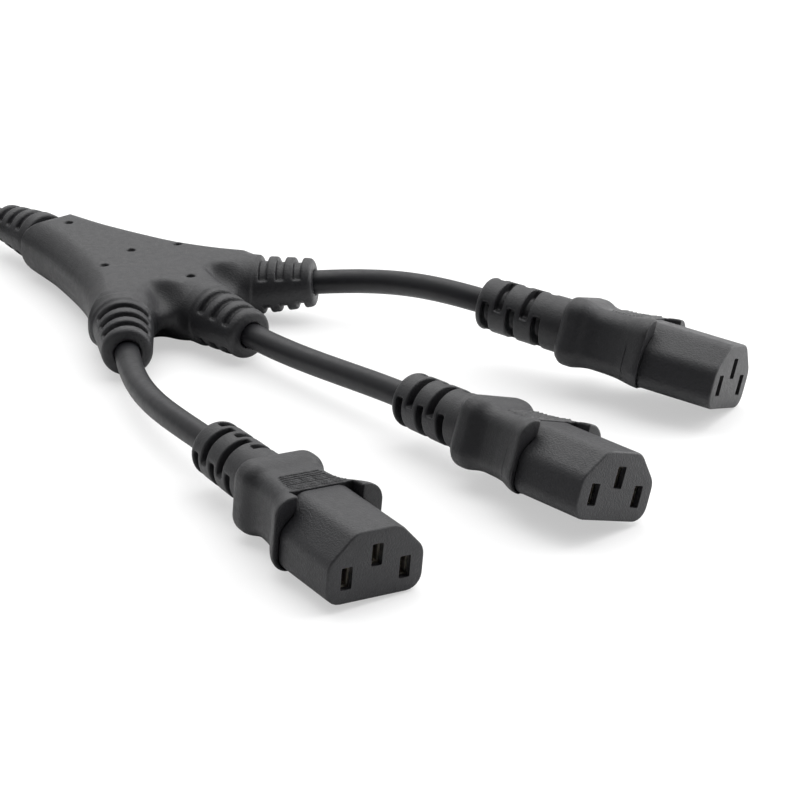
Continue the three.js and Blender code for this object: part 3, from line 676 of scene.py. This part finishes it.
def surface_net(distance, low, high, steps):
    """Quads over the surface where a distance is nothing, in millimetres."""
    axes = [np.arange(a, b + h, h) for a, b, h in zip(low, high, steps)]
    shape = tuple(len(a) for a in axes)
    value = np.empty(shape)
    y, z = axes[1][None, :, None], axes[2][None, None, :]
    slice_size = 24
    for start in range(0, shape[0], slice_size):
        part = slice(start, start + slice_size)
        value[part] = distance(axes[0][part][:, None, None], y, z)
    inside = value < 0
    full = sum(
        inside[i : shape[0] - 1 + i, j : shape[1] - 1 + j, k : shape[2] - 1 + k].astype(int)
        for i in (0, 1) for j in (0, 1) for k in (0, 1)
    )
    crossed = (full > 0) & (full < 8)
    cells = np.argwhere(crossed)
    index = np.full(crossed.shape, -1)
    index[crossed] = np.arange(len(cells))
    vertices = settle(net_vertices(value, axes, cells), distance)
    return vertices, net_faces(inside, index)


def placed(vertices, matrix):
    """Vertices in millimetres of a piece's own frame, in metres of the part's frame."""
    m = np.array(matrix)
    return (vertices @ m[:3, :3].T + m[:3, 3]) * MM


def prism(outline, x0, x1):
    """Closed bmesh between two x values."""
    shape = bmesh.new()
    rings = [[shape.verts.new((x, y, z)) for y, z in outline] for x in (x0, x1)]
    shape.faces.new(rings[0][::-1])
    shape.faces.new(rings[1])
    count = len(outline)
    for i in range(count):
        j = (i + 1) % count
        shape.faces.new((rings[0][i], rings[0][j], rings[1][j], rings[1][i]))
    bmesh.ops.recalc_face_normals(shape, faces=shape.faces)
    return shape


def rectangle(y, z, width, height):
    return [(y + a * width / 2, z + b * height / 2) for a, b in ((-1, -1), (1, -1), (1, 1), (-1, 1))]


def object_from_bmesh(name, shape):
    mesh = bpy.data.meshes.new(name)
    shape.to_mesh(mesh)
    shape.free()
    result = bpy.data.objects.new(name, mesh)
    bpy.context.collection.objects.link(result)
    return result


def apply_boolean(target, operation, others):
    """Joins or cuts with other objects, which are then deleted, and returns the target's new mesh."""
    for other in others:
        modifier = target.modifiers.new("cut", "BOOLEAN")
        modifier.operation = operation
        modifier.solver = "EXACT"
        modifier.object = other
    graph = bpy.context.evaluated_depsgraph_get()
    mesh = bpy.data.meshes.new_from_object(target.evaluated_get(graph))
    target.modifiers.clear()
    target.data = mesh
    for other in others:
        bpy.data.objects.remove(other)
    return mesh


def bevel(shape, edges, width, segments):
    bmesh.ops.bevel(
        shape, geom=edges, offset=width, segments=segments, profile=0.5, affect="EDGES", clamp_overlap=True
    )


def sharp_edges(shape, least_angle=60):
    limit = math.radians(least_angle)
    return [e for e in shape.edges if len(e.link_faces) == 2 and e.calc_face_angle(0) > limit]


def edges_along_axis(edges, least):
    return [e for e in edges if abs(e.verts[0].co.x - e.verts[1].co.x) > least]


def finish_hard_mesh(target, matrix):
    """Turns a hard-edged object's mesh into one in the part's frame, and removes the object."""
    mesh = target.data
    bpy.data.objects.remove(target)
    shape = bmesh.new()
    shape.from_mesh(mesh)
    bmesh.ops.triangulate(shape, faces=[f for f in shape.faces if len(f.verts) > 4])
    shape.transform(Matrix.Scale(MM, 4) @ matrix)
    shape.to_mesh(mesh)
    shape.free()
    mesh.polygons.foreach_set("use_smooth", [True] * len(mesh.polygons))
    mesh.set_sharp_from_angle(angle=math.radians(HARD_SHARP_FROM))
    mesh.update()
    return mesh


def contact_block_object():
    """Hard insert of a connector: the nose, its seat in the hood, and the three slots and chambers."""
    nose = prism(nose_outline(), TONGUE_FIT - TOP_RECESS["length"], NOSE["length"])
    bevel(nose, sharp_edges(nose), NOSE_RIM, 4)
    block = object_from_bmesh("contact_block", nose)
    wide = 40
    under_outline = rectangle(0, TOP_RECESS["tongue"] - wide / 2, wide, wide)
    under = prism(under_outline, -TOP_RECESS["length"] - OVERRUN, 0)
    apply_boolean(block, "DIFFERENCE", [object_from_bmesh("under", under)])
    root = prism(nose_outline(-BLOCK_ROOT["inset"]), -BLOCK_ROOT["length"], OVERRUN)
    apply_boolean(block, "UNION", [object_from_bmesh("root_part", root)])
    chamber_end = NOSE["length"] - SLOT["wall"]
    cuts = []
    for y, z in CONTACT_AT.values():
        mouth_outline = rectangle(y, z, SLOT["width"], SLOT["height"])
        mouth = prism(mouth_outline, chamber_end - OVERRUN, NOSE["length"] + OVERRUN)
        bevel(mouth, edges_along_axis(mouth.edges, 1), SLOT["ease"], 2)
        room_outline = rectangle(y, z, CONTACT_CHAMBER["width"], CONTACT_CHAMBER["height"])
        room = prism(room_outline, -BLOCK_ROOT["length"] - OVERRUN, chamber_end)
        cuts += [object_from_bmesh("mouth", mouth), object_from_bmesh("room", room)]
    apply_boolean(block, "DIFFERENCE", cuts)
    return block


def carrier_object():
    """Floor of the plug's recess, with a hole for each pin."""
    base = prism(nose_outline(SHROUD_CLEARANCE - CARRIER["inset"]), -CARRIER["back"], CARRIER["front"])
    bevel(base, sharp_edges(base), CARRIER["ease"], 2)
    carrier = object_from_bmesh("carrier", base)
    holes = []
    for y, z in CONTACT_AT.values():
        hole_outline = rectangle(y, z, PIN["width"] + 2 * FIT, PIN["height"] + 2 * FIT)
        hole = prism(hole_outline, -CARRIER["back"] - OVERRUN, CARRIER["front"] + OVERRUN)
        holes.append(object_from_bmesh("hole", hole))
    apply_boolean(carrier, "DIFFERENCE", holes)
    return carrier


def pin_object(pole):
    """Flat pin with its long edges eased and its tip drawn in."""
    y, z = CONTACT_AT[pole]
    tip_x = NOSE["length"] - PIN["tip"]
    blade = prism(rectangle(y, z, PIN["width"], PIN["height"]), -PIN["back"], tip_x)
    tip = [e for e in blade.edges if all(v.co.x > tip_x - 0.01 for v in e.verts)]
    bevel(blade, tip, PIN["point"], 3)
    bevel(blade, edges_along_axis(sharp_edges(blade), 5), PIN["ease"], 3)
    return object_from_bmesh("pin", blade)


# Materials
class Shader:
    """A material's nodes, built one by one."""

    def __init__(self, name):
        self.material = bpy.data.materials.new(name)
        self.material.use_nodes = True
        self.tree = self.material.node_tree
        self.tree.nodes.clear()
        output = self.tree.nodes.new("ShaderNodeOutputMaterial")
        self.surface = self.tree.nodes.new("ShaderNodeBsdfPrincipled")
        self.link(self.surface.outputs[0], output.inputs["Surface"])
        self.place = self.tree.nodes.new("ShaderNodeTexCoord").outputs["Object"]

    def link(self, source, target):
        self.tree.links.new(source, target)

    def node(self, kind, settings=None, **inputs):
        made = self.tree.nodes.new(kind)
        for key, value in (settings or {}).items():
            setattr(made, key, value)
        for key, value in inputs.items():
            socket = made.inputs[key.replace("_", " ")]
            if isinstance(value, bpy.types.NodeSocket):
                self.link(value, socket)
            else:
                socket.default_value = value
        return made

    def stretched(self, x, y, z):
        """Object coordinates stretched along the axes."""
        return self.node("ShaderNodeMapping", Vector=self.place, Scale=(x, y, z)).outputs[0]

    def noise(self, scale, detail=2.0, roughness=0.5, vector=None):
        made = self.node(
            "ShaderNodeTexNoise", Vector=vector or self.place, Scale=scale, Detail=detail, Roughness=roughness
        )
        return made.outputs["Fac"]

    def spots(self, scale, vector=None):
        made = self.node("ShaderNodeTexVoronoi", Vector=vector or self.place, Scale=scale)
        return made.outputs["Distance"]

    def bands(self, scale, way="X", distortion=0.0, vector=None):
        made = self.node(
            "ShaderNodeTexWave", {"bands_direction": way},
            Vector=vector or self.place, Scale=scale, Distortion=distortion,
        )
        return made.outputs["Fac"]

    def mapped(self, value, low, high, to_low, to_high):
        made = self.node("ShaderNodeMapRange", Value=value)
        for key, number in zip(("From Min", "From Max", "To Min", "To Max"), (low, high, to_low, to_high)):
            made.inputs[key].default_value = number
        return made.outputs[0]

    def spread(self, noise, low, high):
        """Number that goes from low to high over the range of noise."""
        return self.mapped(noise, NOISE_LOW, NOISE_HIGH, low, high)

    def ramp(self, value, stops):
        made = self.node("ShaderNodeValToRGB", Fac=value)
        ramp = made.color_ramp
        while len(ramp.elements) < len(stops):
            ramp.elements.new(0.5)
        for element, (position, colour) in zip(ramp.elements, stops):
            element.position = position
            element.color = (*colour, 1)
        return made.outputs["Color"]

    def between(self, noise, dark, light):
        """Colour that goes from dark to light over the range of noise."""
        return self.ramp(noise, [(NOISE_LOW, dark), (NOISE_HIGH, light)])

    def math(self, operation, a, b):
        made = self.node("ShaderNodeMath", {"operation": operation})
        for socket, value in zip(made.inputs, (a, b)):
            if isinstance(value, bpy.types.NodeSocket):
                self.link(value, socket)
            else:
                socket.default_value = value
        return made.outputs[0]

    def blend(self, a, share, b, other_share):
        """Weighted sum of two values."""
        return self.math("ADD", self.math("MULTIPLY", a, share), self.math("MULTIPLY", b, other_share))

    def bump(self, height, distance, strength=1.0, after=None):
        made = self.node("ShaderNodeBump", Height=height, Distance=distance, Strength=strength)
        if after:
            self.link(after, made.inputs["Normal"])
        return made.outputs[0]

    def finish(self, base, roughness, normal=None, **constants):
        self.link(base, self.surface.inputs["Base Color"])
        self.link(roughness, self.surface.inputs["Roughness"])
        if normal:
            self.link(normal, self.surface.inputs["Normal"])
        for key, value in constants.items():
            self.surface.inputs[key.replace("_", " ")].default_value = value
        return self.material


def grey(value):
    return tuple(value * t for t in GREY_TINT)


def moulded_plastic(name, light, grain, grain_depth):
    """Charcoal flexible plastic with a fine spark-eroded grain."""
    shader = Shader(name)
    mixed = shader.blend(shader.noise(60, 2), 0.4, shader.noise(1800, 2, 0.6), 0.6)
    base = shader.between(mixed, grey(PLASTIC_DARK), grey(light))
    rough = shader.spread(shader.noise(700, 3, 0.6), PLASTIC_ROUGHNESS - 0.05, PLASTIC_ROUGHNESS + 0.05)
    waves = shader.bump(shader.noise(60, 1), 0.00005, 0.4)
    pits = shader.math("MULTIPLY", shader.spots(grain * 0.8), 0.5)
    grains = shader.math("ADD", shader.noise(grain, 2, 0.7), pits)
    normal = shader.bump(grains, grain_depth, 1.0, waves)
    return shader.finish(base, rough, normal, IOR=PLASTIC_IOR, Specular_IOR_Level=0.42)


def sheath_plastic(name):
    """Smooth cord sheath with faint drawing marks."""
    shader = Shader(name)
    base = shader.between(shader.noise(70, 3), grey(PLASTIC_DARK), grey(0.0115))
    rough = shader.spread(shader.noise(500, 3, 0.6), 0.4, 0.5)
    normal = shader.bump(shader.noise(900, 2), 0.00004, 0.6)
    return shader.finish(base, rough, normal, IOR=PLASTIC_IOR, Specular_IOR_Level=0.28)


def insulation_plastic(name, colour, stripe=None):
    """Smooth insulation of a conductor, in one colour or striped with a second."""
    shader = Shader(name)
    if stripe:
        wave = shader.bands(90.0, distortion=1.5, vector=shader.stretched(1, 1, 2.2))
        base = shader.ramp(wave, [(0.48, colour), (0.52, stripe)])
    else:
        base = shader.between(shader.noise(300, 2), tuple(0.8 * c for c in colour), colour)
    rough = shader.spread(shader.noise(800, 2), 0.35, 0.5)
    return shader.finish(base, rough, shader.bump(shader.noise(1200, 2), 0.00003, 0.5), IOR=PLASTIC_IOR)


def plain_metal(name, dark, light, roughness):
    """Rolled or plated strip with fine marks along it."""
    shader = Shader(name)
    marks = shader.noise(400, 4, 0.6, shader.stretched(0.3, 4, 4))
    base = shader.between(marks, dark, light)
    rough = shader.spread(marks, roughness - 0.08, roughness + 0.1)
    return shader.finish(base, rough, shader.bump(marks, 0.00002, 0.6), Metallic=1.0)


def woven_strap(name):
    """Black hook-and-loop strap."""
    shader = Shader(name)
    weave = shader.math("MULTIPLY", shader.bands(260.0, "X"), shader.bands(260.0, "Z"))
    fuzz = shader.noise(2600, 3, 0.7)
    mixed = shader.blend(weave, 0.5, fuzz, 0.5)
    base = shader.ramp(mixed, [(0.2, grey(0.012)), (0.8, grey(0.03))])
    rough = shader.mapped(fuzz, 0.2, 0.8, 0.8, 0.95)
    return shader.finish(base, rough, shader.bump(mixed, 0.00025, 1.0), Sheen_Weight=0.1)


make_camera()

body_plastic = moulded_plastic("moulded_body", light=0.0125, grain=2800, grain_depth=0.00008)
hard_plastic = moulded_plastic("contact_block", light=0.0135, grain=2600, grain_depth=0.0001)
sheath = sheath_plastic("cord_sheath")
brass = plain_metal("contact_brass", (0.44, 0.41, 0.34), (0.6, 0.57, 0.49), roughness=0.36)
nickel = plain_metal("plated_metal", (0.46, 0.46, 0.44), (0.62, 0.62, 0.6), roughness=0.28)
strap = woven_strap("tie_strap")
insulation = {
    "line": insulation_plastic("insulation_line", (0.16, 0.07, 0.03)),
    "neutral": insulation_plastic("insulation_neutral", (0.03, 0.12, 0.4)),
    "earth": insulation_plastic("insulation_earth", (0.16, 0.36, 0.04), (0.7, 0.55, 0.04)),
}


# Pieces
def make_cords():
    for number in (1, 2, 3):
        route = outlet_route(number)
        mesh = tube_mesh(f"cord_{number}", route, OUTLET_CORD_SIDES)
        cord = add_piece(f"cord_{number}", mesh, sheath, [f"outlet_cord_{number}"])


def make_lead():
    route = lead_route()[:-1] + coil_route() + tail_route()
    mesh = tube_mesh("lead", route, LEAD_SIDES)
    replaced = ["input_lead", "input_lead_coil", "input_lead_tail"]
    lead = add_piece("lead", mesh, sheath, replaced)
    return lead, route


def make_block():
    vertices, faces = surface_net(block_distance, *BLOCK_NET)
    mesh = mesh_from("block", placed(vertices, ON_BLOCK), faces)
    add_piece("block", mesh, body_plastic, ["splitter_block"])


def make_connectors():
    vertices, faces = surface_net(hood_distance, *HOOD_NET)
    for number, place in enumerate(CONNECTOR_PLACES, 1):
        matrix = connector_matrix(place)
        mesh = mesh_from(f"hood_{number}", placed(vertices, matrix), faces)
        add_piece(f"hood_{number}", mesh, body_plastic, [f"connector_{number}_hood"])
        insert = finish_hard_mesh(contact_block_object(), matrix)
        insert.name = f"insert_{number}"
        replaced = [f"connector_{number}_contact_block"]
        add_piece(f"insert_{number}", insert, hard_plastic, replaced)


def make_plug():
    matrix = shift(*PLUG_AT)
    vertices, faces = surface_net(plug_hood_distance, *PLUG_NET)
    mesh = mesh_from("plug_body", placed(vertices, matrix), faces)
    pieces = [add_piece("plug_body", mesh, body_plastic, ["plug_hood"])]
    mesh = finish_hard_mesh(carrier_object(), matrix)
    pieces.append(add_piece("plug_floor", mesh, hard_plastic, ["plug_pin_carrier"]))
    for pole in POLES:
        mesh = finish_hard_mesh(pin_object(pole), matrix)
        pieces.append(add_piece(f"plug_blade_{pole}", mesh, nickel, [f"plug_pin_{pole}"]))
    return pieces


def make_tie():
    """Strap wound once around the coil's section, with its end laid over its start."""
    half_length = 1.5 * TURN_PITCH + TIE["slack"] + FIT + TIE["band"] / 2
    coil_height = 2 * CORD_RADIUS + TURN_PITCH
    half_height = coil_height / 2 + FIT + TIE["band"] / 2
    radius = TIE["radius"]
    steps = TIE["corner_steps"]
    corners = [
        (half_length - radius, radius - half_height, -90),
        (half_length - radius, half_height - radius, 0),
        (radius - half_length, half_height - radius, 90),
        (radius - half_length, radius - half_height, 180),
    ]
    loop = []
    for u, v, start in corners:
        for i in range(steps + 1):
            a = math.radians(start + 90 / steps * i)
            loop.append(Vector((u + radius * math.cos(a), v + radius * math.sin(a), 0)))
    start_at = Vector((half_length, 0, 0))
    lap = [start_at + Vector(TIE_LAP["offset"]), *loop[steps : TIE_LAP["end"]]]
    lift = 1 + (TIE["band"] + TIE_LAP["gap"]) / half_height * TIE_LAP["share"]
    line = [start_at, *loop[steps:], *loop[:steps], *(point * lift for point in lap)]
    at = shift(*COIL_AT, COIL_FLOOR + coil_height / 2) @ turn_about("Z", TIE["angle"])
    count = len(line)
    vertices = []
    for i, point in enumerate(line):
        along = (line[min(i + 1, count - 1)] - line[max(i - 1, 0)]).normalized()
        out = Vector((along.y, -along.x, 0))
        for side, face in ((-1, -1), (1, -1), (1, 1), (-1, 1)):
            p = point + out * (face * TIE["band"] / 2)
            vertices.append((at @ Vector((COIL_MIDDLE + p.x, side * TIE["width"] / 2, p.y))) * MM)
    faces = [(3, 2, 1, 0), tuple(range(4 * count - 4, 4 * count)), *ring_faces(count, 4)]
    mesh = mesh_from("strap", vertices, faces)
    mesh.set_sharp_from_angle(angle=math.radians(STRAP_SHARP_FROM))
    return add_piece("strap", mesh, strap, ["coil_tie"])


def dress_cad_nodes():
    """Materials of the inner pieces whose CAD shape stays."""
    for name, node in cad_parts.items():
        material = None
        pole = name.rsplit("_", 1)[-1]
        if "_wire_" in name:
            material = insulation[pole]
        elif name.startswith("splice_sleeve"):
            material = nickel
        elif "_contact_" in name and pole in POLES:
            material = brass
        if material:
            node.material_slots[0].material = material


def make_stage():
    """Plain matte floor just under the part, with a little glow of its own to the camera."""
    a = FLOOR["half_size"]
    mesh = mesh_from("floor", [(-a, -a, 0), (a, -a, 0), (a, a, 0), (-a, a, 0)], [(0, 1, 2, 3)], smooth=False)
    floor = bpy.data.objects.new("floor", mesh)
    bpy.context.collection.objects.link(floor)
    floor.location.z = -FLOOR["drop"]
    material = bpy.data.materials.new("floor")
    material.use_nodes = True
    tree = material.node_tree
    tree.nodes.clear()
    output = tree.nodes.new("ShaderNodeOutputMaterial")
    matte = tree.nodes.new("ShaderNodeBsdfDiffuse")
    matte.inputs["Color"].default_value = (FLOOR["shade"], FLOOR["shade"], FLOOR["shade"], 1)
    glow = tree.nodes.new("ShaderNodeEmission")
    glow.inputs["Color"].default_value = (1, 1, 1, 1)
    path = tree.nodes.new("ShaderNodeLightPath")
    share = tree.nodes.new("ShaderNodeMath")
    share.operation = "MULTIPLY"
    share.inputs[1].default_value = FLOOR["glow"]
    tree.links.new(path.outputs["Is Camera Ray"], share.inputs[0])
    mix = tree.nodes.new("ShaderNodeMixShader")
    tree.links.new(share.outputs[0], mix.inputs[0])
    tree.links.new(matte.outputs[0], mix.inputs[1])
    tree.links.new(glow.outputs[0], mix.inputs[2])
    tree.links.new(mix.outputs[0], output.inputs["Surface"])
    floor.data.materials.append(material)


def make_world():
    """White to the camera; as a light, brighter behind the part than on the camera's side."""
    world = bpy.data.worlds.new("world")
    bpy.context.scene.world = world
    world.use_nodes = True
    tree = world.node_tree
    tree.nodes.clear()
    output = tree.nodes.new("ShaderNodeOutputWorld")
    background = tree.nodes.new("ShaderNodeBackground")
    background.inputs["Color"].default_value = (1, 1, 1, 1)
    direction = tree.nodes.new("ShaderNodeTexCoord")
    facing = tree.nodes.new("ShaderNodeVectorMath")
    facing.operation = "DOT_PRODUCT"
    azimuth = math.radians(CAMERA_AZIMUTH)
    facing.inputs[1].default_value = (-math.sin(azimuth), math.cos(azimuth), WORLD["rise"])
    tree.links.new(direction.outputs["Generated"], facing.inputs[0])
    level = tree.nodes.new("ShaderNodeMapRange")
    for socket, key in (("From Min", "from"), ("From Max", "to"), ("To Min", "near"), ("To Max", "far")):
        level.inputs[socket].default_value = WORLD[key]
    tree.links.new(facing.outputs["Value"], level.inputs["Value"])
    path = tree.nodes.new("ShaderNodeLightPath")
    seen = tree.nodes.new("ShaderNodeMath")
    seen.operation = "MAXIMUM"
    tree.links.new(path.outputs["Is Camera Ray"], seen.inputs[0])
    tree.links.new(level.outputs[0], seen.inputs[1])
    tree.links.new(seen.outputs[0], background.inputs["Strength"])
    tree.links.new(background.outputs[0], output.inputs["Surface"])


def add_area_light(name, at, target, size, power):
    data = bpy.data.lights.new(name, "AREA")
    data.shape = "SQUARE"
    data.size = size
    data.energy = power
    light = bpy.data.objects.new(name, data)
    light.location = at
    light.rotation_euler = (Vector(target) - Vector(at)).to_track_quat("-Z", "Y").to_euler()
    bpy.context.collection.objects.link(light)


make_cords()
lead, lead_points = make_lead()
make_block()
make_connectors()
plug_pieces = make_plug()
tie_piece = make_tie()
dress_cad_nodes()

make_stage()
make_world()
for softbox, setup in SOFTBOXES.items():
    add_area_light(softbox, *setup)
bpy.context.scene.view_settings.view_transform = "Standard"
